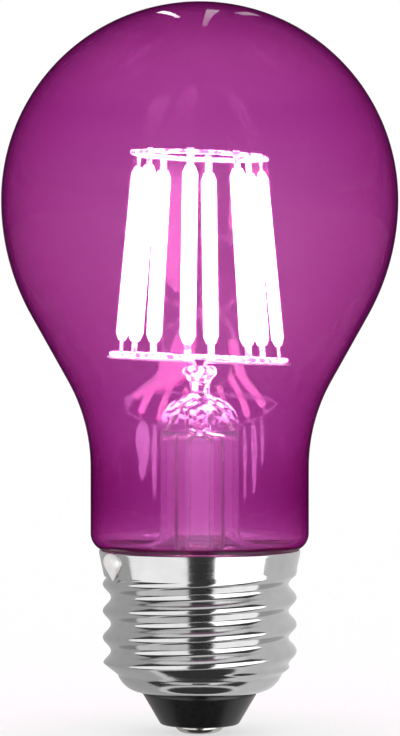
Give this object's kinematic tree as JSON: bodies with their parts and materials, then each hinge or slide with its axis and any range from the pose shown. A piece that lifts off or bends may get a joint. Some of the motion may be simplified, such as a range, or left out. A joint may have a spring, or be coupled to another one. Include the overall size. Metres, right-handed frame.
{
  "type": "filament light bulb",
  "caption": "Pear-shaped light bulb with a tinted see-through glass envelope, a cage of glowing strip filaments on a clear glass stem, and a metal screw base with a centre contact.",
  "frame": {"origin": "centre of the bottom contact's flat face, on the lamp's axis", "axes": "+Z along the lamp's axis, from the contact up through the screw base to the crown of the glass; -Y is the front, the side with the stem's blow hole"},
  "size_m": [0.054, 0.054, 0.0994],
  "materials": {
    "tinted_glass": "gloss, tinted purple",
    "clear_glass": "gloss, clear",
    "nickel_plate": "bright nickel plate",
    "tinned_contact": "tinned",
    "black_glass": "gloss",
    "solder": "satin",
    "cement": "matte",
    "nickel_wire": "satin",
    "phosphor": "glowing silicone over the chips",
    "board": "satin",
    "capacitor_sleeve": "satin",
    "package_black": "matte",
    "fuse_body": "satin"
  },
  "bodies": {
    "root": {"glass_envelope": "tinted_glass", "stem": "clear_glass", "exhaust_tube": "clear_glass", "screw_base": "nickel_plate", "insulator": "black_glass", "centre_contact": "tinned_contact", "side_solder": "solder", "cement_ring": "cement", "lead_wire_left": "nickel_wire", "lead_wire_right": "nickel_wire", "side_wire": "nickel_wire", "lower_ring_left": "nickel_wire", "lower_ring_right": "nickel_wire", "upper_ring": "nickel_wire", "filament_1": "phosphor", "filament_2": "phosphor", "filament_3": "phosphor", "filament_4": "phosphor", "filament_5": "phosphor", "filament_6": "phosphor", "filament_7": "phosphor", "filament_8": "phosphor", "filament_tabs_1": "nickel_wire", "filament_tabs_2": "nickel_wire", "filament_tabs_3": "nickel_wire", "filament_tabs_4": "nickel_wire", "filament_tabs_5": "nickel_wire", "filament_tabs_6": "nickel_wire", "filament_tabs_7": "nickel_wire", "filament_tabs_8": "nickel_wire", "driver_board": "board", "capacitor": "capacitor_sleeve", "rectifier": "package_black", "driver_chip": "package_black", "rectifier_legs": "solder", "driver_chip_legs": "solder", "fuse_resistor": "fuse_body", "fuse_leads": "solder"}
  },
  "joints": []
}
